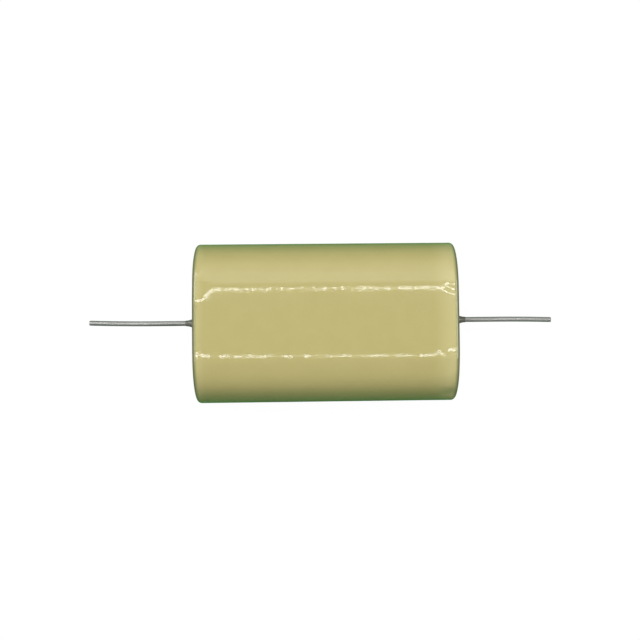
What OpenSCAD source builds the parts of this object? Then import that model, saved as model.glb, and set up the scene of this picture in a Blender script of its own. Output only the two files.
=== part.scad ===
// Axial film capacitor: a flat oval winding of metallised film, wrapped in glossy tape,
// with resin poured into both ends round the tinned leads.
// The origin is the middle of the flat underside. The leads run along X, and +Z is up.

/* [Body] */
// Length of the body over the tape
body_l = 51; // [42:0.5:70]
// Width of the flat oval section over the tape
body_w = 31.5; // [26:0.5:45]
// Thickness of the flat oval section over the tape
body_t = 20; // [14:0.5:26]

/* [Tape wrap] */
// Thickness of all turns of the tape
tape_t = 0.3; // [0.15:0.05:0.5]
// Outside radius at which the tape is drawn in at each end
rim_r = 0.8; // [0.6:0.05:1.2]

/* [Winding] */
// Thickness of the metal sprayed on each end of the winding
spray_t = 0.6; // [0.3:0.1:1.2]
// Width of the flattened slit that the winding mandrel leaves
slit_w = 9; // [5:0.5:11]
// Height of that slit
slit_t = 0.4; // [0.2:0.1:1]

/* [Leads] */
// Diameter of the tinned wire
lead_d = 1; // [0.6:0.05:1.2]
// Length of wire outside the left end of the tape
left_lead_l = 21.6; // [14:0.1:40]
// Straight length of the left lead before it curves
left_root_l = 8.2; // [6:0.1:18]
// Radius of the left lead's curve towards +Y, at the middle of the wire
left_curve_r = 345; // [60:1:400]
// Place of the left lead across the width
left_lead_y = 0.1; // [-1:0.1:1]
// Length of wire outside the right end of the tape
right_lead_l = 19.5; // [12:0.1:40]
// Straight length of the right lead before it curves
right_root_l = 8.3; // [6:0.1:16]
// Radius of the right lead's curve towards -Y, at the middle of the wire
right_curve_r = 320; // [60:1:400]
// Place of the right lead across the width
right_lead_y = 0.3; // [-1:0.1:1]

/* [Lead feet] */
// Length of the foot that lies flat on the sprayed metal
foot_l = 4; // [2.5:0.5:6]
// Width of the solder bead over the foot
bead_w = 4.8; // [4:0.2:6]
// Thickness of solder under the foot
solder_under = 0.1; // [0.05:0.05:0.2]
// Thickness of solder over the foot
solder_over = 0.5; // [0.3:0.1:0.8]

/* [End seals] */
// Depth of the resin from the end of the tape to the sprayed metal
seal_d = 3.2; // [2.6:0.1:6]
// How far the resin stands back from the end of the tape
seal_recess = 0.15; // [0.05:0.05:0.25]
// Height to which the resin climbs the lead above its own face
climb_h = 2.55; // [2.2:0.05:4]
// Spread of the climbing resin on the face, out from the wire
climb_w = 1.35; // [0.8:0.05:1.9]
// Thickness of the climbing resin where it ends on the wire
climb_edge = 0.06; // [0.03:0.01:0.1]

/* [Hidden] */
$fn = 96;

// Flat oval section: two half rounds of this radius, this far apart
oval_r = body_t / 2;
oval_gap = body_w - body_t;
inner_r = oval_r - tape_t;
lip_r = oval_r - rim_r;

// Places along the body, out from its middle
end_x = body_l / 2;
wall_x = end_x - rim_r;
face_x = end_x - seal_recess;
climb_x = face_x + climb_h;
spray_x = end_x - seal_d;
film_x = spray_x - spray_t;

// Lead foot: the wire sweeps down to it from where the resin ends outside
foot_x = spray_x + solder_under + lead_d / 2;
foot_bend_r = climb_x - foot_x;

// Solder bead: its crest, the radius of its round back, and its length between the round ends
bead_h = solder_under + lead_d + solder_over;
bead_r = (pow(bead_w / 2, 2) + pow(bead_h, 2)) / (2 * bead_h);
bead_l = foot_l - lead_d;

// Resin that climbs the lead: its edge on the wire, the round of its hollow side,
// and how far that round goes on down into the seal
climb_tip_r = lead_d / 2 + climb_edge;
climb_r = (pow(climb_w, 2) + pow(climb_h, 2)) / (2 * climb_w);
climb_root = seal_d / 8;

// Turns a shape that stands on the XY plane to lie along the body, at half its height
module along_body() {
    translate([0, 0, oval_r])
    rotate([0, 90, 0])
    children();
}

// Flat oval bar with half rounds of the radius r
module oval_bar(r, length) {
    linear_extrude(length) {
        square([2 * r, oval_gap], center = true);
        for (side = [-1, 1]) {
            translate([0, side * oval_gap / 2])
            circle(r);
        }
    }
}

// Carries a profile, drawn from the axis of a half round, all the way round the flat oval
module oval_sweep() {
    for (turn = [0, 180]) {
        rotate([0, 0, turn]) {
            translate([0, oval_gap / 2, 0])
            rotate_extrude(angle = 180)
            children();
            rotate([90, 0, 0])
            linear_extrude(oval_gap, center = true)
            children();
        }
    }
}

module quarter_disc(r) {
    intersection() {
        circle(r);
        square(r);
    }
}

// Flattened roll of film, with the slit in its middle
module wound_film() {
    color([0.86, 0.87, 0.88])
    along_body()
    translate([0, 0, -film_x])
    difference() {
        oval_bar(inner_r, 2 * film_x);
        linear_extrude(2 * film_x)
        square([slit_t, slit_w], center = true);
    }
}

// Sprayed metal that joins the turns at one end of the roll
module end_spray() {
    color([0.55, 0.56, 0.58])
    along_body()
    translate([0, 0, film_x])
    oval_bar(inner_r, spray_t);
}

// Wire from its foot on the sprayed metal, out along X and on in a gentle curve to one side
module lead_wire(place_y, root_l, curve_r, side, length) {
    root_x = end_x + root_l;
    curve_angle = (length - root_l) / curve_r * 180 / PI;
    color([0.66, 0.66, 0.65])
    translate([0, place_y, oval_r]) {
        translate([foot_x, foot_bend_r, 0])
        rotate([-90, 0, 0])
        cylinder(d = lead_d, h = foot_l);
        translate([climb_x, foot_bend_r, 0])
        rotate([0, 0, 180])
        rotate_extrude(angle = 90)
        translate([foot_bend_r, 0])
        circle(d = lead_d);
        translate([climb_x, 0, 0])
        rotate([0, 90, 0])
        cylinder(d = lead_d, h = root_x - climb_x);
        translate([root_x, side * curve_r, 0])
        rotate([0, 0, -90 * side])
        rotate_extrude(angle = side * curve_angle)
        translate([curve_r, 0])
        circle(d = lead_d);
    }
}

module left_wire() {
    lead_wire(left_lead_y, left_root_l, left_curve_r, 1, left_lead_l);
}

module right_wire() {
    lead_wire(right_lead_y, right_root_l, right_curve_r, -1, right_lead_l);
}

// Outside of the solder bead: a round-backed ridge with round ends on the sprayed metal
module bead_form(place_y) {
    translate([spray_x, place_y + foot_bend_r, oval_r])
    intersection() {
        translate([bead_h - bead_r, 0, 0]) {
            rotate([-90, 0, 0])
            cylinder(r = bead_r, h = bead_l);
            for (end_y = [0, bead_l]) {
                translate([0, end_y, 0])
                sphere(bead_r);
            }
        }
        translate([0, -bead_w, -bead_w])
        cube([2 * bead_h, bead_l + 2 * bead_w, 2 * bead_w]);
    }
}

// Solder bead round the wire that is passed to it
module solder(place_y) {
    color([0.70, 0.71, 0.72])
    difference() {
        bead_form(place_y);
        children();
    }
}

// Wall of the tape with a lip rolled in at both ends
module tape_profile() {
    translate([inner_r, -wall_x])
    square([tape_t, 2 * wall_x]);
    for (end = [0, 1]) {
        mirror([0, end])
        translate([lip_r, wall_x])
        difference() {
            quarter_disc(rim_r);
            circle(rim_r - tape_t);
        }
    }
}

// Tape wound round the film and the resin, and drawn in over both ends
module tape_wrap() {
    color([0.76, 0.72, 0.49])
    along_body()
    oval_sweep()
    tape_profile();
}

// Hollow-sided cone of resin round the wire, standing on the face of the seal
module climbing_resin(place_y) {
    translate([face_x, place_y, oval_r])
    rotate([0, 90, 0])
    rotate_extrude()
    difference() {
        translate([0, -climb_root])
        square([climb_tip_r + climb_r, climb_root + climb_h]);
        translate([climb_tip_r + climb_r, climb_h])
        circle(climb_r);
    }
}

// Resin under the lip of the tape, from the wall to the opening
module lip_fill_profile() {
    translate([lip_r, spray_x])
    square([inner_r - lip_r, wall_x - spray_x]);
    translate([lip_r, wall_x])
    quarter_disc(rim_r - tape_t);
}

// Poured resin that fills the end of the tape, round the solder and the wire that is passed to it
module end_seal(place_y) {
    color([0.62, 0.55, 0.36])
    difference() {
        union() {
            along_body() {
                translate([0, 0, spray_x])
                oval_bar(lip_r, face_x - spray_x);
                oval_sweep()
                lip_fill_profile();
            }
            climbing_resin(place_y);
        }
        bead_form(place_y);
        children();
    }
}

wound_film();
mirror([1, 0, 0]) end_spray();  // end_spray_left
end_spray();  // end_spray_right
mirror([1, 0, 0]) left_wire();  // lead_left
right_wire();  // lead_right
mirror([1, 0, 0]) solder(left_lead_y) left_wire();  // solder_left
solder(right_lead_y) right_wire();  // solder_right
tape_wrap();
mirror([1, 0, 0]) end_seal(left_lead_y) left_wire();  // end_seal_left
end_seal(right_lead_y) right_wire();  // end_seal_right
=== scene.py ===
import math

import bmesh
import bpy
from mathutils import Euler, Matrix, Quaternion, Vector, noise


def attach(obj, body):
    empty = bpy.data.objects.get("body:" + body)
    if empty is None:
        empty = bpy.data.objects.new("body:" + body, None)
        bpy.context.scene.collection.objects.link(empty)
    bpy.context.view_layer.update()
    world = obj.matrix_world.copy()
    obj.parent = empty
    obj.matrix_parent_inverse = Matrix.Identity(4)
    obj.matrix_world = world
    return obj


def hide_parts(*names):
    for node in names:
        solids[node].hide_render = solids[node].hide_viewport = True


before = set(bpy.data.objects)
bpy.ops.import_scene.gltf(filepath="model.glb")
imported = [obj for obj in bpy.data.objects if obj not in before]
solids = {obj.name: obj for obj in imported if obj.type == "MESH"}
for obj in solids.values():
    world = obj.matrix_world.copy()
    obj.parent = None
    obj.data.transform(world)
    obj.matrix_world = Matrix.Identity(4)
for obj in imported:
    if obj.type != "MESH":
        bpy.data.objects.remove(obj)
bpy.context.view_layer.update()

# Wound film
# One long strip of metallised film, rolled up on a mandrel and pressed flat, with a slit left in the middle.
# It fills the tape between the sprayed ends, and its turns show only where the roll is cut.
body_thick = 0.020
body_wide = 0.0315
half_flat = (body_wide - body_thick) / 2
mid_height = body_thick / 2
film_pitch = 0.00022
turn_edge_grey = (0.40, 0.41, 0.42, 1.0)


def put(tree, kind, inputs=None, **settings):
    """Adds a node to a tree. Each input is a plain value or the socket that feeds it."""
    node = tree.nodes.new(kind)
    for name, value in settings.items():
        setattr(node, name, value)
    for name, value in (inputs or {}).items():
        if isinstance(value, bpy.types.NodeSocket):
            tree.links.new(value, node.inputs[name])
        else:
            node.inputs[name].default_value = value
    return node


def calc(tree, operation, first, *others):
    """One Math node, or a chain of them where more than two values are put together."""
    if not others:
        return put(tree, "ShaderNodeMath", {0: first}, operation=operation).outputs[0]
    for other in others:
        first = put(tree, "ShaderNodeMath", {0: first, 1: other}, operation=operation).outputs[0]
    return first


def ramp(tree, value, low, high, at_low=0.0, at_high=1.0):
    inputs = {"Value": value, 1: low, 2: high, 3: at_low, 4: at_high}
    return put(tree, "ShaderNodeMapRange", inputs, interpolation_type="SMOOTHSTEP").outputs[0]


def tint(tree, share, under, over):
    return put(tree, "ShaderNodeMix", {0: share, 6: under, 7: over}, data_type="RGBA").outputs[2]


def bumped(tree, height, strength, distance):
    inputs = {"Strength": strength, "Distance": distance, "Height": height}
    return put(tree, "ShaderNodeBump", inputs).outputs[0]


def add_sockets(tree, direction, sockets):
    for name, kind in sockets.items():
        tree.interface.new_socket(name, in_out=direction, socket_type="NodeSocket" + kind)


# Shared by all finishes: slow patches of two tones, and a fine grain that also varies the gloss
grain = bpy.data.node_groups.new("grain_and_patches", "ShaderNodeTree")
add_sockets(grain, "INPUT", {
    "Vector": "Vector", "Patch Scale": "Float", "Grain Scale": "Float", "Dark": "Color", "Pale": "Color",
    "Smooth": "Float", "Rough": "Float"})
add_sockets(grain, "OUTPUT", {"Color": "Color", "Roughness": "Float", "Height": "Float"})
given = put(grain, "NodeGroupInput").outputs
patches = put(grain, "ShaderNodeTexNoise", {
    "Vector": given["Vector"], "Scale": given["Patch Scale"], "Detail": 3.0}).outputs["Fac"]
specks = put(grain, "ShaderNodeTexNoise", {
    "Vector": given["Vector"], "Scale": given["Grain Scale"], "Detail": 4.0}).outputs["Fac"]
both = calc(grain, "ADD", patches, specks)
put(grain, "NodeGroupOutput", {
    "Color": tint(grain, ramp(grain, patches, 0.36, 0.64), given["Dark"], given["Pale"]),
    "Roughness": ramp(grain, both, 0.75, 1.25, given["Smooth"], given["Rough"]),
    "Height": specks,
})


def new_finish(name, **plain):
    """A new material, its tree and its shader. Plain values are set on the shader's own sockets."""
    material = bpy.data.materials.new(name)
    material.use_nodes = True
    shader = material.node_tree.nodes["Principled BSDF"]
    for socket, value in plain.items():
        shader.inputs[socket.replace("_", " ")].default_value = value
    return material, material.node_tree, shader


def object_place(tree):
    return put(tree, "ShaderNodeTexCoord").outputs["Object"]


def split(tree, vector):
    return put(tree, "ShaderNodeSeparateXYZ", {0: vector}).outputs


def add_grain(tree, vector, patch_scale, grain_scale, dark, pale, smooth, rough):
    return put(tree, "ShaderNodeGroup", {
        "Vector": vector, "Patch Scale": patch_scale, "Grain Scale": grain_scale, "Dark": (*dark, 1.0),
        "Pale": (*pale, 1.0), "Smooth": smooth, "Rough": rough}, node_tree=grain).outputs


def feed(tree, shader, **sources):
    """Links sockets to a shader's inputs, which are named with underscores for spaces."""
    for name, source in sources.items():
        tree.links.new(source, shader.inputs[name.replace("_", " ")])


def wear(material, *names):
    for name in names:
        solids[name].material_slots[0].material = material


film, tree, shader = new_finish("metallised_film", Metallic=0.8, IOR=1.6)
place = object_place(tree)
axes = split(tree, place)
beside = calc(tree, "MAXIMUM", calc(tree, "SUBTRACT", calc(tree, "ABSOLUTE", axes["Y"]), half_flat), 0.0)
above = calc(tree, "SUBTRACT", axes["Z"], mid_height)
squares = calc(tree, "ADD", calc(tree, "MULTIPLY", beside, beside), calc(tree, "MULTIPLY", above, above))
turns = calc(tree, "SINE", calc(tree, "MULTIPLY", calc(tree, "SQRT", squares), 2 * math.pi / film_pitch))
worn = add_grain(tree, place, patch_scale=180.0, grain_scale=2400.0, dark=(0.52, 0.53, 0.55),
                 pale=(0.66, 0.67, 0.69), smooth=0.28, rough=0.42)
feed(tree, shader, Base_Color=tint(tree, ramp(tree, turns, 0.2, 1.0), worn["Color"], turn_edge_grey),
     Roughness=worn["Roughness"], Normal=bumped(tree, turns, strength=0.3, distance=0.00005))
wear(film, "wound_film")

# Sprayed ends
# Zinc sprayed on to both ends of the roll in a porous, grainy coat, which joins all the turns.
zinc, tree, shader = new_finish("sprayed_zinc", Metallic=0.7)
worn = add_grain(tree, object_place(tree), patch_scale=420.0, grain_scale=3600.0, dark=(0.30, 0.31, 0.32),
                 pale=(0.46, 0.47, 0.48), smooth=0.55, rough=0.85)
feed(tree, shader, Base_Color=worn["Color"], Roughness=worn["Roughness"],
     Normal=bumped(tree, worn["Height"], strength=0.8, distance=0.0001))
wear(zinc, "end_spray_left", "end_spray_right")

# Leads
# Tinned round wire. Its inner end sweeps down to a foot on the sprayed metal. Outside the resin it runs
# straight, then on in the slight curve it was left with, to a square cut.
body_long = 0.051
wire_thick = 0.001
foot_long = 0.004
solder_under = 0.0001
seal_deep = 0.0032
seal_recess = 0.00015
climb_high = 0.00255
tape_end = body_long / 2
seal_back = tape_end - seal_deep
seal_face = tape_end - seal_recess
resin_end = seal_face + climb_high
foot_depth = seal_back + solder_under + wire_thick / 2
foot_sweep = resin_end - foot_depth
foot_steps = 10
sweep_steps = 24
wire_sides = 32
# Share of the wire's thickness that its rounded cut keeps
cut_share = 0.93
wire_shape = {"Thickness": wire_thick, "Cut Round": 0.00012, "Uneven": 0.00001}
# The end of the body that each lead leaves, as a sign along X, and the lead's place across the width
lead_places = {"left": (-1, 0.0001), "right": (1, 0.0003)}
lead_runs = {
    "left": {"wire_long": 0.0216, "root_long": 0.0082, "root_steps": 14,
             "curve_radius": 0.345, "curve_side": 1, "curve_steps": 34},
    "right": {"wire_long": 0.0195, "root_long": 0.0083, "root_steps": 15,
              "curve_radius": 0.320, "curve_side": -1, "curve_steps": 28},
}


def wire_path(sign, place_y, wire_long, root_long, root_steps, curve_radius, curve_side, curve_steps):
    """Points along the middle of the wire, from the tip of the foot to the cut end."""
    points = [(foot_depth, foot_sweep + foot_long * (1 - n / foot_steps)) for n in range(foot_steps)]
    for n in range(sweep_steps + 1):
        turn = n / sweep_steps * math.pi / 2
        points.append((resin_end - foot_sweep * math.cos(turn), foot_sweep - foot_sweep * math.sin(turn)))
    root_end = tape_end + root_long
    for n in range(1, root_steps + 1):
        points.append((resin_end + (root_end - resin_end) * n / root_steps, 0))
    for n in range(1, curve_steps + 1):
        turn = (wire_long - root_long) / curve_radius * n / curve_steps
        aside = curve_side * curve_radius * (1 - math.cos(turn))
        points.append((root_end + curve_radius * math.sin(turn), aside))
    return [Vector((sign * x, place_y + y, mid_height)) for x, y in points]


def line_mesh(name, points, closed=False):
    edges = [(n, n + 1) for n in range(len(points) - 1)]
    if closed:
        edges.append((len(points) - 1, 0))
    mesh = bpy.data.meshes.new(name)
    mesh.from_pydata(points, edges, [])
    return mesh


def finished(name, mesh, sharp_angle):
    """Merges a mesh's doubles, turns its faces outwards, shades it and puts it into the scene."""
    form = bmesh.new()
    form.from_mesh(mesh)
    bmesh.ops.remove_doubles(form, verts=form.verts, dist=1e-7)
    bmesh.ops.recalc_face_normals(form, faces=form.faces)
    form.to_mesh(mesh)
    form.free()
    mesh.shade_smooth()
    mesh.set_sharp_from_angle(angle=sharp_angle)
    piece = bpy.data.objects.new(name, mesh)
    bpy.context.scene.collection.objects.link(piece)
    return piece


def grow(name, start, tree, values, sharp_angle):
    """Runs a Geometry Nodes tree on a starting mesh, and makes the result a plain object at the origin."""
    source = bpy.data.objects.new(name + "_start", start)
    bpy.context.scene.collection.objects.link(source)
    modifier = source.modifiers.new(name, "NODES")
    modifier.node_group = tree
    for item in tree.interface.items_tree:
        if item.in_out == "INPUT" and item.name in values:
            modifier[item.identifier] = values[item.name]
    made = source.evaluated_get(bpy.context.evaluated_depsgraph_get())
    mesh = bpy.data.meshes.new_from_object(made)
    bpy.data.objects.remove(source)
    return finished(name, mesh, sharp_angle)


def end_tree(tree, geometry, material):
    whole = put(tree, "GeometryNodeRealizeInstances", {"Geometry": geometry}).outputs[0]
    covered = put(tree, "GeometryNodeSetMaterial", {"Geometry": whole, "Material": material}).outputs[0]
    put(tree, "NodeGroupOutput", {"Geometry": covered})


wire_tree = bpy.data.node_groups.new("drawn_wire", "GeometryNodeTree")
add_sockets(wire_tree, "INPUT", {
    "Geometry": "Geometry", "Sides": "Int", "Material": "Material", **dict.fromkeys(wire_shape, "Float")})
add_sockets(wire_tree, "OUTPUT", {"Geometry": "Geometry"})
given = put(wire_tree, "NodeGroupInput").outputs
path = put(wire_tree, "GeometryNodeMeshToCurve", {"Mesh": given["Geometry"]}).outputs[0]
section = put(wire_tree, "GeometryNodeCurvePrimitiveCircle", {
    "Resolution": given["Sides"], "Radius": calc(wire_tree, "MULTIPLY", given["Thickness"], 0.5)}).outputs[0]
along = put(wire_tree, "GeometryNodeSplineParameter").outputs["Length"]
to_cut = calc(wire_tree, "SUBTRACT", put(wire_tree, "GeometryNodeSplineLength").outputs["Length"], along)
thin_end = ramp(wire_tree, to_cut, 0.0, given["Cut Round"], cut_share, 1.0)
swept = put(wire_tree, "GeometryNodeCurveToMesh", {
    "Curve": path, "Profile Curve": section, "Scale": thin_end, "Fill Caps": True}).outputs[0]
lumps = put(wire_tree, "ShaderNodeTexNoise", {"Scale": 900.0, "Detail": 2.0}).outputs["Fac"]
lift = calc(wire_tree, "MULTIPLY", calc(wire_tree, "SUBTRACT", lumps, 0.5), given["Uneven"])
outward = put(wire_tree, "GeometryNodeInputNormal").outputs["Normal"]
shift = put(wire_tree, "ShaderNodeVectorMath", {0: outward, "Scale": lift}, operation="SCALE").outputs[0]
coated = put(wire_tree, "GeometryNodeSetPosition", {"Geometry": swept, "Offset": shift}).outputs[0]
end_tree(wire_tree, coated, given["Material"])

tin, tree, shader = new_finish("tinned_wire", Metallic=0.65)
drawn = put(tree, "ShaderNodeMapping", {"Vector": object_place(tree), "Scale": (0.06, 1.0, 1.0)}).outputs[0]
worn = add_grain(tree, drawn, patch_scale=1500.0, grain_scale=9000.0, dark=(0.37, 0.37, 0.36),
                 pale=(0.50, 0.50, 0.485), smooth=0.42, rough=0.56)
feed(tree, shader, Base_Color=worn["Color"], Roughness=worn["Roughness"],
     Normal=bumped(tree, worn["Height"], strength=0.25, distance=0.00002))

for side, (sign, place_y) in lead_places.items():
    wire_line = line_mesh("wire_line", wire_path(sign, place_y, **lead_runs[side]))
    lead = grow("tinned_lead_" + side, wire_line, wire_tree, {
        **wire_shape, "Sides": wire_sides, "Material": tin}, sharp_angle=math.radians(40))
    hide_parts("lead_" + side)
    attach(lead, "root")

# Solder beads
# A flat round-ended bead of solder over the foot of each lead, wetted out on to the sprayed metal.
solder, tree, shader = new_finish("bright_solder", Metallic=1.0)
worn = add_grain(tree, object_place(tree), patch_scale=900.0, grain_scale=5200.0, dark=(0.50, 0.51, 0.52),
                 pale=(0.68, 0.68, 0.68), smooth=0.22, rough=0.45)
feed(tree, shader, Base_Color=worn["Color"], Roughness=worn["Roughness"],
     Normal=bumped(tree, worn["Height"], strength=0.4, distance=0.00004))
wear(solder, "solder_left", "solder_right")

# Tape wrap
# Glossy yellow-tan polyester tape, wound tight round the roll in several turns and drawn in over both ends.
# It stands a little fuller than the roll at the flanks, each corner of it is dented, pleated or creased
# in its own way, and its gloss is rubbed off in spots along the shoulders.
tape_wall = 0.0003
rim_round = 0.0008
wall_end = tape_end - rim_round
rows_along = 210
rim_rows = 9
lip_rows = 4
inside_rows = 8
steps_around = 400
# The taper is a share of the width, and the scales are features, for each metre
tape_shape = {
    "Width": body_wide,
    "Thickness": body_thick,
    "Half Length": tape_end,
    "Taper": -0.16,
    "Flat Extra": 0.00035,
    "Ease": 0.0015,
    "End Zone": 0.0046,
    "Dent": 0.00028,
    "Pleat": 0.00025,
    "Crease": 0.00006,
    "Bulge": 0.00034,
    "Hollow": 0.00026,
    "Ripple": 0.000006,
    "Ripple Scale": 700.0,
    "Pucker": 0.0001,
    "Pucker Scale": 600.0,
}
# Where the pleats start, how long they are, and how deep they go along that length, as shares of both
pleat_start = 0.0197
pleat_long = 0.0058
pleat_depths = ((0.05, 0.0), (0.155, 0.14), (0.24, 0.43), (0.345, 0.27), (0.465, 0.03), (0.57, 0.43),
                (0.655, 0.82), (0.76, 0.64), (0.88, 0.8), (1.0, 0.8))
# The line of the crease, from and to how far along, and from and to how far across
crease_line = (0.0226, 0.0246, 0.0057, 0.0051)
# How far along the puckers start at the left end and at the right end, and how soon they are full
pucker_starts = (0.0226, 0.0198)
pucker_fade = 0.0014
# Places out from the middle of the body, or from the line of the crease. Two are where a form starts and
# where it is full. Four are where it starts, where it is full from and to, and where it stops.
dent_across = (0.0034, 0.0072, 0.0072, 0.0110)
pleat_across = (0.0044, 0.0082, 0.0082, 0.0125)
crease_across = (-0.0006, 0.0006, 0.0006, 0.0017)
crease_along = (0.0220, 0.0236)
pucker_across = (0.0030, 0.0045, 0.0075, 0.0095)
bulge_along = (0.0253, 0.0235)
hollow_along = (0.0215, 0.0242, 0.0246, 0.0254)
# The same for how far a flank leans outwards, from 0 where it is level to 1 where it is upright
bulge_lean = (0.25, 0.68, 0.68, 1.0)
hollow_lean = (0.68, 0.86, 0.86, 0.98)
# The weight of the gloss, and how the rubbed lines lie: their slope, and how far they are off the middle
gloss_weight = 0.84
rub_slant = 0.0106
rub_shift = 0.0005
rub_across = (0.0054, 0.0058, 0.0067, 0.0071)
# Where the gloss is spared at the ends: how far along, and from which sum of X and Y, which leaves out the
# left end's front corner
spared_along = (0.0190, 0.0212)
spared_corner = (-0.022, -0.020)
# Where and in which tones the tape is paler over resin, paler still at the right end from painted light, and
# darkened by painted shade at the rim
right_resin_and_painted_light_along = (0.0200, 0.0245)
left_resin_along = (-0.0230, -0.0246)
rim_painted_shade_along = (0.0245, 0.02545)
resin_tan_and_painted_light = (0.60, 0.54, 0.25, 1.0)
rim_painted_shade = (0.17, 0.18, 0.09, 1.0)
# How far to each side of the middle one half of the body fades into the other
along_fade = 0.001
across_fade = 0.002


def tape_section():
    """Closed outline of the tape's wall: how far out from the oval's line, and how far along the body."""
    bend = rim_round - tape_wall
    outer, inner = [], []
    for n in range(rim_rows):
        turn = math.pi / 2 * (1 - n / rim_rows)
        outer.append((rim_round * (math.cos(turn) - 1), wall_end + rim_round * math.sin(turn)))
    for n in range(lip_rows + 1):
        turn = math.pi / 2 * (1 - n / lip_rows)
        inner.append((bend * math.cos(turn) - rim_round, wall_end + bend * math.sin(turn)))
    wall = [(0.0, wall_end * (1 - 2 * n / rows_along)) for n in range(rows_along + 1)]
    inside = [(-tape_wall, wall_end * (2 * n / inside_rows - 1)) for n in range(1, inside_rows)]
    far_outer = [(q, -x) for q, x in reversed(outer)]
    far_inner = [(q, -x) for q, x in inner]
    loop = outer + wall + far_outer + far_inner + inside + list(reversed(inner))
    return [Vector((q, x, 0.0)) for q, x in reversed(loop)]


def band(tree, value, start, full_from, full_to, stop):
    """A mask that is full over a stretch of a value and fades out to both sides of it."""
    return calc(tree, "MULTIPLY", ramp(tree, value, start, full_from), ramp(tree, value, stop, full_to))


def front_to_back(tree, y, front=0.0, back=1.0):
    """One value for the front half of the body and another for the back half."""
    return ramp(tree, y, -across_fade, across_fade, front, back)


skin = bpy.data.node_groups.new("tape_skin", "GeometryNodeTree")
add_sockets(skin, "INPUT", {
    "Geometry": "Geometry", "Steps Around": "Int", "Material": "Material",
    **dict.fromkeys(tape_shape, "Float")})
add_sockets(skin, "OUTPUT", {"Geometry": "Geometry"})
given = put(skin, "NodeGroupInput").outputs
half_thick = calc(skin, "MULTIPLY", given["Thickness"], 0.5)
half_level = calc(skin, "MULTIPLY", calc(skin, "SUBTRACT", given["Width"], given["Thickness"]), 0.5)
box_line = put(skin, "GeometryNodeCurvePrimitiveQuadrilateral", {
    "Width": given["Width"], "Height": given["Thickness"]}).outputs[0]
oval = put(skin, "GeometryNodeFilletCurve", {
    "Curve": box_line, "Count": 64, "Radius": half_thick, "Limit Radius": True}, mode="POLY").outputs[0]
oval = put(skin, "GeometryNodeResampleCurve", {"Curve": oval, "Count": given["Steps Around"]}).outputs[0]
oval = put(skin, "GeometryNodeSetCurveNormal", {"Curve": oval}, mode="Z_UP").outputs[0]
section = put(skin, "GeometryNodeMeshToCurve", {"Mesh": given["Geometry"]}).outputs[0]
tube = put(skin, "GeometryNodeCurveToMesh", {"Curve": oval, "Profile Curve": section}).outputs[0]
laid = put(skin, "GeometryNodeTransform", {
    "Geometry": tube, "Translation": (0.0, 0.0, mid_height),
    "Rotation": (math.pi / 2, 0.0, math.pi / 2)}).outputs[0]

# Where a point lies on the body, and which way is out of the oval there
spot = put(skin, "GeometryNodeInputPosition").outputs[0]
axes = split(skin, spot)
along = calc(skin, "ABSOLUTE", axes["X"])
across = calc(skin, "ABSOLUTE", axes["Y"])
past_flat = calc(skin, "MAXIMUM", calc(skin, "SUBTRACT", across, half_level), 0.0)
beside = calc(skin, "MULTIPLY", past_flat, calc(skin, "SIGN", axes["Y"]))
above = calc(skin, "SUBTRACT", axes["Z"], half_thick)
from_core = put(skin, "ShaderNodeCombineXYZ", {"Y": beside, "Z": above}).outputs[0]
out = put(skin, "ShaderNodeVectorMath", {0: from_core}, operation="NORMALIZE").outputs[0]
leaning = calc(skin, "ABSOLUTE", split(skin, out)["Y"])
facing = calc(skin, "DIVIDE", above, half_thick)
to_right = ramp(skin, axes["X"], -along_fade, along_fade)
to_back = front_to_back(skin, axes["Y"])


def by_corner(left_front=0.0, left_back=0.0, right_front=0.0, right_back=0.0):
    """A share for each corner of the body, seen from above."""
    left = ramp(skin, to_back, 0.0, 1.0, left_front, left_back)
    right = ramp(skin, to_back, 0.0, 1.0, right_front, right_back)
    return put(skin, "ShaderNodeMix", {0: to_right, 2: left, 3: right}).outputs[0]


def uneven(scale, detail, height, stretch=(1.0, 1.0, 1.0), shift=(0.0, 0.0, 0.0)):
    """Heights and hollows of a noise over the skin."""
    vector = put(skin, "ShaderNodeVectorMath", {0: spot, 1: stretch, 2: shift}, operation="MULTIPLY_ADD")
    level = put(skin, "ShaderNodeTexNoise", {
        "Vector": vector.outputs[0], "Scale": scale, "Detail": detail}).outputs["Fac"]
    return calc(skin, "MULTIPLY", calc(skin, "SUBTRACT", level, 0.5), height)


# Dents near the ends, at the shoulder between the flat and the round, deepest at the left end's back corner
zone_start = calc(skin, "SUBTRACT", given["Half Length"], given["End Zone"])
end_zone = ramp(skin, along, zone_start, given["Half Length"])
shoulder = band(skin, across, *dent_across)
corner = by_corner(left_front=0.3, left_back=1.12, right_back=0.1)
dent = calc(skin, "MULTIPLY", end_zone, corner, shoulder, given["Dent"])

# Small pleats across the shoulder at the right end's front corner
pleats = put(skin, "ShaderNodeFloatCurve", {
    "Value": calc(skin, "DIVIDE", calc(skin, "SUBTRACT", along, pleat_start), pleat_long)})
first_depth, *other_depths, last_depth = pleat_depths
pleat_line = pleats.mapping.curves[0].points
pleat_line[0].location = first_depth
pleat_line[1].location = last_depth
for depth in other_depths:
    pleat_line.new(*depth)
pleats.mapping.update()
shoulder = band(skin, across, *pleat_across)
pleat = calc(skin, "MULTIPLY", pleats.outputs[0], shoulder, by_corner(right_front=1.0), given["Pleat"])

# One crease at the right end's back corner, which runs in from the shoulder towards the end
from_crease = calc(skin, "SUBTRACT", across, ramp(skin, along, *crease_line))
step = band(skin, from_crease, *crease_across)
start = ramp(skin, along, *crease_along)
crease = calc(skin, "MULTIPLY", step, start, by_corner(right_back=1.0), given["Crease"])

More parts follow.
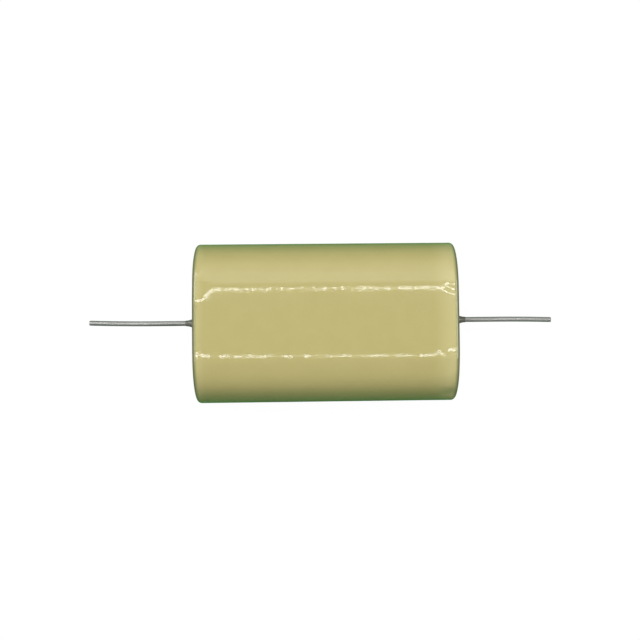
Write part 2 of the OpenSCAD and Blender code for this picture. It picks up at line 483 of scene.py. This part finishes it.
# All along, the flat runs on a little and then eases into the round
past_join = calc(skin, "SUBTRACT", across, calc(skin, "ADD", half_level, given["Flat Extra"]))
eased = calc(skin, "MAXIMUM", calc(skin, "ADD", past_join, given["Ease"]), 0.0)
eased = calc(skin, "MINIMUM", eased, calc(skin, "MULTIPLY", given["Ease"], 2.0))
eased_fall = calc(skin, "POWER", eased, 3.0)
eased_fall = calc(skin, "DIVIDE", eased_fall, calc(skin, "MULTIPLY", given["Ease"], 12.0))
round_part = calc(skin, "MINIMUM", past_flat, calc(skin, "ADD", given["Ease"], given["Flat Extra"]))
round_fall = calc(skin, "MULTIPLY", round_part, round_part, 0.5)
ease = calc(skin, "DIVIDE", calc(skin, "SUBTRACT", eased_fall, round_fall), half_thick)

# Ripples all over, and puckers across the shoulders near the ends
ripples = uneven(given["Ripple Scale"], 2.0, given["Ripple"])
ripple = calc(skin, "MULTIPLY", ripples, ramp(skin, to_back, 0.0, 1.0, at_low=1.5, at_high=1.0))
puckers = uneven(given["Pucker Scale"], 0.0, given["Pucker"], stretch=(1.0, 0.6, 0.6),
                 shift=(0.0305, 0.00373, -0.003))
pucker_start = ramp(skin, to_right, 0.0, 1.0, *pucker_starts)
start = ramp(skin, along, pucker_start, calc(skin, "ADD", pucker_start, pucker_fade))
shoulder = band(skin, across, *pucker_across)
corner = by_corner(left_back=0.3, right_front=0.1, right_back=0.15)
pucker = calc(skin, "MULTIPLY", puckers, start, shoulder, corner)

# Between the ends the flanks are a little fuller than half rounds, and the front one has a hollow low down
# by its right end
full = band(skin, leaning, *bulge_lean)
bulge = calc(skin, "MULTIPLY", full, ramp(skin, along, *bulge_along), given["Bulge"])
low = band(skin, leaning, *hollow_lean)
by_end = band(skin, along, *hollow_along)
hollow = calc(skin, "MULTIPLY", low, by_end, by_corner(right_front=1.0), given["Hollow"])

# The falls go straight down, the taper goes across, and all else goes out of the oval
fall = calc(skin, "MULTIPLY", calc(skin, "ADD", dent, ease, pleat, crease), facing)
lift = put(skin, "ShaderNodeCombineXYZ", {
    "Y": calc(skin, "MULTIPLY", axes["Y"], axes["X"], given["Taper"]),
    "Z": calc(skin, "MULTIPLY", fall, -1.0)}).outputs[0]
swell = calc(skin, "SUBTRACT", calc(skin, "ADD", bulge, ripple, pucker), hollow)
push = put(skin, "ShaderNodeVectorMath", {0: out, "Scale": swell}, operation="SCALE").outputs[0]
offset = put(skin, "ShaderNodeVectorMath", {0: push, 1: lift}, operation="ADD").outputs[0]
shaped = put(skin, "GeometryNodeSetPosition", {"Geometry": laid, "Offset": offset}).outputs[0]
end_tree(skin, shaped, given["Material"])

# The gloss is a coat on the tape. It is rubbed off in spots along two lines, a little askew to the body,
# and mostly spared at the ends
polyester, tree, shader = new_finish(
    "polyester_tape", IOR=1.5, Specular_IOR_Level=0.08, Coat_Roughness=0.09, Coat_IOR=1.5)
place = object_place(tree)
axes = split(tree, place)
along = calc(tree, "ABSOLUTE", axes["X"])
rub_place = put(tree, "ShaderNodeMapping", {"Vector": place, "Scale": (1.0, 0.4, 0.4)}).outputs[0]
rub_scale = front_to_back(tree, axes["Y"], front=700.0, back=1700.0)
rub = put(tree, "ShaderNodeTexNoise", {"Vector": rub_place, "Scale": rub_scale, "Detail": 1.0}).outputs["Fac"]
askew = calc(tree, "ADD", calc(tree, "MULTIPLY", axes["X"], rub_slant), rub_shift)
from_middle = calc(tree, "ABSOLUTE", calc(tree, "ADD", axes["Y"], askew))
on_line = band(tree, from_middle, *rub_across)
off_left_front = ramp(tree, calc(tree, "ADD", axes["Y"], axes["X"]), *spared_corner)
spared = calc(tree, "MULTIPLY", ramp(tree, along, *spared_along, at_high=0.9), off_left_front,
              front_to_back(tree, axes["Y"], front=0.4))
rubbed = calc(tree, "MULTIPLY", ramp(tree, rub, 0.40, 0.60), on_line, calc(tree, "SUBTRACT", 1.0, spared))

# The tape is paler where resin lies under it, and paler still at the right end, which is painted light
worn = add_grain(tree, place, patch_scale=300.0, grain_scale=1500.0, dark=(0.515, 0.455, 0.189),
                 pale=(0.525, 0.465, 0.195), smooth=0.06, rough=0.12)
# Partly real and partly painted light: tape over resin is paler, and the right end is made paler still for
# light from that side
over_right_resin_and_painted_light = ramp(tree, axes["X"], *right_resin_and_painted_light_along)
over_left = ramp(tree, axes["X"], *left_resin_along, at_high=0.6)
paler_with_painted_light = tint(tree, calc(tree, "MAXIMUM", over_right_resin_and_painted_light, over_left), worn["Color"], resin_tan_and_painted_light)
# Painted shade: where the tape rolls over the rim at each end, its colour is darkened to a dark olive
on_rim_painted_shade = ramp(tree, along, *rim_painted_shade_along)
peel = put(tree, "ShaderNodeTexNoise", {"Vector": place, "Scale": 2200.0, "Detail": 0.0}).outputs["Fac"]
peel = calc(tree, "MULTIPLY", peel, front_to_back(tree, axes["Y"], front=1.4, back=1.1))
peel_slope = bumped(tree, peel, strength=1.0, distance=0.000007)
feed(tree, shader, Base_Color=tint(tree, on_rim_painted_shade, paler_with_painted_light, rim_painted_shade), Roughness=worn["Roughness"],
     Coat_Weight=ramp(tree, rubbed, 0.0, 1.0, gloss_weight, 0.0), Normal=peel_slope, Coat_Normal=peel_slope)

tape = grow("tape", line_mesh("tape_section", tape_section(), closed=True), skin, {
    **tape_shape, "Steps Around": steps_around, "Material": polyester}, sharp_angle=math.radians(50))
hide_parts("tape_wrap")
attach(tape, "root")

# End seals
# Resin poured into each end of the tape. It sets a little below the rim, creeps up the tape at its edge,
# and climbs the lead in a hollow-sided cone.
lip_radius = mid_height - rim_round
inner_radius = mid_height - tape_wall
lip_bend = inner_radius - lip_radius
lip_steps = 5
creep_high = 0.00011
creep_reach = 0.00035
wave_high = 0.00004
wave_scale = 260
wave_start = 0.0012
climb_edge = 0.00006
climb_wide = 0.00135
climb_fade = 0.0012
climb_painted_shade_grey = (0.17, 0.17, 0.14, 1.0)
cone_tip = wire_thick / 2 + climb_edge
cone_foot = cone_tip + climb_wide
cone_round = (climb_wide ** 2 + climb_high ** 2) / (2 * climb_wide)
cone_steps = 14
face_steps = 30
seal_steps = 192


def oval_point(share, radius):
    """A point of the flat oval at a share of its way round, in the width and the height."""
    straight, bow = 2 * half_flat, math.pi * radius
    way = share * (2 * straight + 2 * bow)
    if way < bow:
        turn = way / radius - math.pi / 2
        return half_flat + radius * math.cos(turn), radius * math.sin(turn)
    way -= bow
    if way < straight:
        return half_flat - way, radius
    way -= straight
    if way < bow:
        turn = way / radius + math.pi / 2
        return -half_flat + radius * math.cos(turn), radius * math.sin(turn)
    return -half_flat + way - bow, -radius


def seal_mesh(name, sign, place_y):
    form = bmesh.new()
    rows = []

    def add_row(spot):
        row = []
        for n in range(seal_steps):
            x, y, z = spot(n / seal_steps)
            row.append(form.verts.new((sign * x, y, mid_height + z)))
        rows.append(row)

    def oval_row(radius, x):
        add_row(lambda share: (x, *oval_point(share, radius)))

    def bearing(share):
        """The way from the lead to the edge of the face, as an angle and a length."""
        y, z = oval_point(share, lip_radius)
        return math.atan2(z, y - place_y), math.hypot(y - place_y, z)

    def face_level(turn, from_edge, reach):
        """Height of the face: it creeps up at the tape, and waves a little between that and the lead."""
        creep = creep_high * math.exp(-from_edge / creep_reach)
        wave_place = (reach * math.cos(turn) * wave_scale, reach * math.sin(turn) * wave_scale, sign * 7.0)
        wave = noise.noise(Vector(wave_place))
        return seal_face + creep + wave_high * wave * min(1.0, from_edge / wave_start)

    oval_row(inner_radius, seal_back)
    oval_row(inner_radius, wall_end)
    for n in range(1, lip_steps + 1):
        turn = math.pi / 2 * n / lip_steps
        oval_row(lip_radius + lip_bend * math.cos(turn), wall_end + lip_bend * math.sin(turn))
    for n in range(face_steps + 1):
        part = (n / face_steps) ** 1.6

        def face_spot(share, part=part):
            turn, full = bearing(share)
            reach = full + (cone_foot - full) * part
            x = face_level(turn, full - reach, reach)
            x = x + (seal_face - x) * max(0.0, (part - 0.9) / 0.1)
            return x, place_y + reach * math.cos(turn), reach * math.sin(turn)

        add_row(face_spot)
    for n in range(1, cone_steps + 1):
        high = climb_high * n / cone_steps
        reach = cone_tip + cone_round - math.sqrt(cone_round ** 2 - (climb_high - high) ** 2)

        def cone_spot(share, high=high, reach=reach):
            turn, _ = bearing(share)
            return seal_face + high, place_y + reach * math.cos(turn), reach * math.sin(turn)

        add_row(cone_spot)
    for low_row, high_row in zip(rows, rows[1:]):
        for n in range(seal_steps):
            m = (n + 1) % seal_steps
            form.faces.new((low_row[n], low_row[m], high_row[m], high_row[n]))
    form.faces.new(rows[0])
    form.faces.new(rows[-1])
    mesh = bpy.data.meshes.new(name)
    form.to_mesh(mesh)
    form.free()
    return mesh


resin, tree, shader = new_finish("poured_resin", IOR=1.5)
place = object_place(tree)
worn = add_grain(tree, place, patch_scale=260.0, grain_scale=2600.0, dark=(0.29, 0.235, 0.115),
                 pale=(0.335, 0.275, 0.14), smooth=0.22, rough=0.38)
# Painted shade: the resin cone that climbs each lead is coloured dark grey, fading in from the face
on_wire_painted_shade = ramp(tree, calc(tree, "ABSOLUTE", split(tree, place)["X"]), seal_face, seal_face + climb_fade)
feed(tree, shader, Base_Color=tint(tree, on_wire_painted_shade, worn["Color"], climb_painted_shade_grey),
     Roughness=worn["Roughness"], Normal=bumped(tree, worn["Height"], strength=0.25, distance=0.00004))

for side, (sign, place_y) in lead_places.items():
    mesh = seal_mesh("resin_" + side, sign, place_y)
    mesh.materials.append(resin)
    seal = finished("resin_" + side, mesh, sharp_angle=math.radians(60))
    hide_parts("end_seal_" + side)
    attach(seal, "root")

# Floor
# A pale sheet round the part on a green work surface, which tints the part's edges from below.
# The camera sees all of it as white, and it keeps the part's soft shadow.
floor_reach = 2.0
floor_drop = 0.0001
sheet_margin = 0.012
sheet_fade = 0.006
work_green = (0.015, 0.20, 0.035, 1.0)
sheet_pale = (0.40, 0.40, 0.38, 1.0)
form = bmesh.new()
bmesh.ops.create_grid(form, x_segments=2, y_segments=2, size=floor_reach)
floor_mesh = bpy.data.meshes.new("floor")
form.to_mesh(floor_mesh)
form.free()
floor = bpy.data.objects.new("floor", floor_mesh)
floor.location.z = -floor_drop
bpy.context.scene.collection.objects.link(floor)
paper, tree, shader = new_finish("floor_paper", Roughness=0.9)
axes = split(tree, object_place(tree))
past_end = calc(tree, "SUBTRACT", calc(tree, "ABSOLUTE", axes["X"]), tape_end)
past_side = calc(tree, "SUBTRACT", calc(tree, "ABSOLUTE", axes["Y"]), body_wide / 2)
past_body = calc(tree, "MAXIMUM", past_end, past_side)
rays = put(tree, "ShaderNodeLightPath").outputs
on_sheet = calc(tree, "MULTIPLY", ramp(tree, past_body, sheet_margin, sheet_fade), rays["Is Diffuse Ray"])
feed(tree, shader, Base_Color=tint(tree, on_sheet, work_green, sheet_pale))
seen = calc(tree, "MAXIMUM", rays["Is Camera Ray"], rays["Is Transmission Ray"],
            calc(tree, "MULTIPLY", rays["Is Glossy Ray"], 0.02))
lit = put(tree, "ShaderNodeBsdfDiffuse", {"Color": (0.95, 0.95, 0.95, 1.0)})
glow = put(tree, "ShaderNodeEmission", {"Color": (1.0, 1.0, 1.0, 1.0), "Strength": 1.02})
white = put(tree, "ShaderNodeMixShader", {0: 0.95, 1: lit.outputs[0], 2: glow.outputs[0]})
mixed = put(tree, "ShaderNodeMixShader", {0: seen, 1: shader.outputs[0], 2: white.outputs[0]})
tree.links.new(mixed.outputs[0], tree.nodes["Material Output"].inputs["Surface"])
floor_mesh.materials.append(paper)

# Light
# Two long tubes above the part draw the lines along its shoulders. Panels behind it, dimmer the lower they
# are, and a weak one in front light the flanks, and lamps to the sides and at one corner light the ends.


def add_lamp(name, bearing, lean, away, long, wide, radiance, turn=0.0):
    """A flat lamp that faces the part, leaned so many degrees from overhead towards a bearing from +X."""
    lamp = bpy.data.lights.new(name, "AREA")
    lamp.shape = "RECTANGLE"
    lamp.size = long
    lamp.size_y = wide
    lamp.energy = radiance * math.pi * long * wide
    towards = Vector((0.0, 0.0, away))
    towards.rotate(Euler((0.0, math.radians(lean), math.radians(bearing))))
    holder = bpy.data.objects.new(name, lamp)
    holder.location = Vector((0.0, 0.0, body_thick)) + towards
    facing = (-towards).to_track_quat("-Z", "Y") @ Quaternion((0.0, 0.0, 1.0), math.radians(turn))
    holder.rotation_euler = facing.to_euler()
    bpy.context.scene.collection.objects.link(holder)


add_lamp("tube_back", bearing=90, lean=9.0, away=0.61, long=0.5, wide=0.028, radiance=13.5)
add_lamp("tube_front", bearing=-90, lean=9.6, away=0.61, long=0.5, wide=0.028, radiance=13.5, turn=-7.0)
add_lamp("panel_high", bearing=90, lean=24, away=0.8, long=0.45, wide=0.17, radiance=1.3)
add_lamp("panel_middle", bearing=90, lean=34, away=0.8, long=0.45, wide=0.14, radiance=1.35)
add_lamp("panel_low", bearing=90, lean=45, away=0.8, long=0.45, wide=0.196, radiance=0.86)
add_lamp("panel_foot", bearing=90, lean=59, away=0.8, long=0.45, wide=0.196, radiance=0.55)
add_lamp("panel_front", bearing=-90, lean=23, away=0.8, long=0.45, wide=0.21, radiance=0.23)
add_lamp("side_left", bearing=180, lean=52, away=0.8, long=0.5, wide=0.46, radiance=2.2)
add_lamp("side_right", bearing=0, lean=52, away=0.8, long=0.5, wide=0.46, radiance=4.2)
add_lamp("corner_left", bearing=145, lean=45, away=0.8, long=0.4, wide=0.4, radiance=4.7)

# Surround
# A faint even glow on the part from all round. The camera sees it as white.
world = bpy.data.worlds.new("surround")
bpy.context.scene.world = world
world.use_nodes = True
tree = world.node_tree
even = tree.nodes["Background"]
even.inputs["Color"].default_value = (0.98, 1.0, 0.97, 1.0)
even.inputs["Strength"].default_value = 0.01
white = put(tree, "ShaderNodeBackground", {"Color": (1.0, 1.0, 1.0, 1.0), "Strength": 1.0})
rays = put(tree, "ShaderNodeLightPath").outputs
mixed = put(tree, "ShaderNodeMixShader", {0: rays["Is Camera Ray"], 1: even.outputs[0], 2: white.outputs[0]})
tree.links.new(mixed.outputs[0], tree.nodes["World Output"].inputs["Surface"])

# Camera
# Nearly straight down on the broad face, with the leads a little off level, as the photograph has it.
view_wide = 0.127920
view_away = 0.200632
view_aim = Vector((-0.001078, 0.000506, mid_height))
view_turn = Euler((math.radians(2.723), 0.0, math.radians(-0.608)))
lens = bpy.data.cameras.new("camera")
lens.sensor_width = 36.0
lens.lens = lens.sensor_width * view_away / view_wide
lens.clip_start = 0.01
camera = bpy.data.objects.new("camera", lens)
camera.rotation_euler = view_turn
camera.location = view_aim + view_turn.to_matrix() @ Vector((0.0, 0.0, view_away))
bpy.context.scene.collection.objects.link(camera)
bpy.context.scene.camera = camera
bpy.context.scene.view_settings.view_transform = "Standard"
